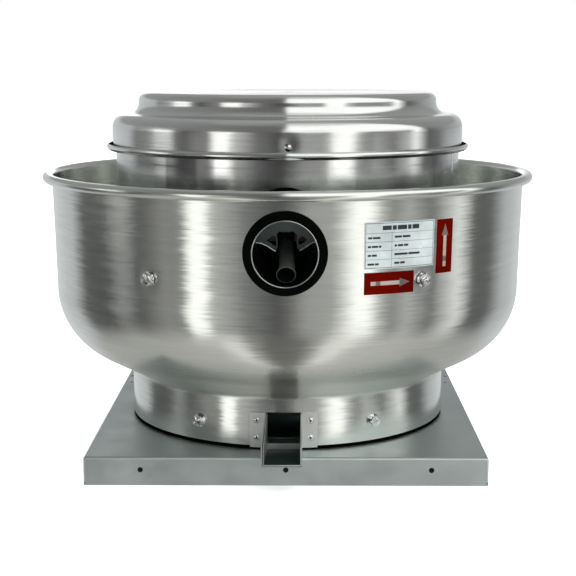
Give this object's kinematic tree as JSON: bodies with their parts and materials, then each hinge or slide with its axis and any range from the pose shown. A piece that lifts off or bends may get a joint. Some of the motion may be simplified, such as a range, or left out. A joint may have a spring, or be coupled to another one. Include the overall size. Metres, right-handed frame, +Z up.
{
  "type": "exhaust hood fan",
  "caption": "Upblast centrifugal exhaust fan for a food truck hood: a square curb cap, spun aluminium windband bowl, domed motor cover, grease spout and a wheel that spins.",
  "frame": {"origin": "centre of the curb cap's lower edge, on the fan's axis", "axes": "+Z up along the fan's axis; the grease spout and breather tube face -Y; +X is to the right seen from the front"},
  "size_m": [0.6416, 0.6416, 0.4603],
  "materials": {
    "cap_sheet": "mill finish, cool grey",
    "spun_aluminium": "spun, with fine lathe lines",
    "cover_aluminium": "spun and lightly polished",
    "plain_aluminium": "mill finish",
    "spout_sheet": "folded sheet, mill finish",
    "zinc_steel": "bright zinc plate",
    "rivet_metal": "plain aluminium",
    "wheel_aluminium": "mill finish",
    "black_rubber": "moulded rubber, satin",
    "tube_aluminium": "drawn tube",
    "grey_plastic": "moulded grey plastic",
    "motor_paint": "satin enamel",
    "bell_metal": "cast, machined faces",
    "core_steel": "stacked steel laminations",
    "winding_copper": "lacquered copper wire",
    "bearing_steel": "ground and polished steel",
    "shaft_steel": "turned steel",
    "box_steel": "grey powder coat",
    "capacitor_case": "black plastic case",
    "plate_print": "pale printed plate",
    "label_red": "red printed label"
  },
  "bodies": {
    "housing": {"curb_cap": "cap_sheet", "inlet_venturi": "plain_aluminium", "venturi_rivets": "rivet_metal", "windband": "spun_aluminium", "collar_brackets": "plain_aluminium", "bracket_rivets": "rivet_metal", "collar_bolts": "zinc_steel", "collar_nuts": "zinc_steel", "grease_spout": "spout_sheet", "spout_rivets": "rivet_metal", "windband_bolts": "zinc_steel", "windband_nuts": "zinc_steel", "support_strut_1": "plain_aluminium", "support_strut_2": "plain_aluminium", "support_strut_3": "plain_aluminium", "support_strut_4": "plain_aluminium", "strut_rivets": "rivet_metal", "motor_deck": "plain_aluminium", "motor_shroud": "spun_aluminium", "shroud_rivets": "rivet_metal", "motor_cover": "cover_aluminium", "cover_screws": "zinc_steel", "breather_tube": "tube_aluminium", "bowl_grommet": "black_rubber", "shroud_grommet": "black_rubber", "tube_spider": "grey_plastic", "wiring_conduit": "grey_plastic", "wiring_box": "box_steel", "wiring_box_lid": "box_steel", "motor_housing": "motor_paint", "stator_core": "core_steel", "stator_windings": "winding_copper", "lower_end_bell": "bell_metal", "upper_end_bell": "bell_metal", "motor_through_bolts": "zinc_steel", "motor_isolators": "black_rubber", "motor_mount_bolts": "zinc_steel", "bearing_outer_rings": "bearing_steel", "bearing_balls": "bearing_steel", "capacitor": "capacitor_case", "rating_plate": "plate_print", "arrow_label_up": "label_red", "arrow_label_right": "label_red"},
    "wheel_rotor": {"motor_shaft": "shaft_steel", "rotor_core": "core_steel", "bearing_inner_rings": "bearing_steel", "shaft_key": "shaft_steel", "wheel_hub": "wheel_aluminium", "hub_rivets": "rivet_metal", "hub_set_screw": "shaft_steel", "wheel_back_plate": "wheel_aluminium", "wheel_inlet_ring": "wheel_aluminium", "wheel_blade_1": "wheel_aluminium", "wheel_blade_2": "wheel_aluminium", "wheel_blade_3": "wheel_aluminium", "wheel_blade_4": "wheel_aluminium", "wheel_blade_5": "wheel_aluminium", "wheel_blade_6": "wheel_aluminium", "wheel_blade_7": "wheel_aluminium", "wheel_blade_8": "wheel_aluminium"}
  },
  "joints": [
    {"name": "wheel_spin", "type": "hinge", "parent": "housing", "child": "wheel_rotor", "pos_m": [0, 0, 0.2], "axis": [0, 0, 1], "continuous": true}
  ]
}
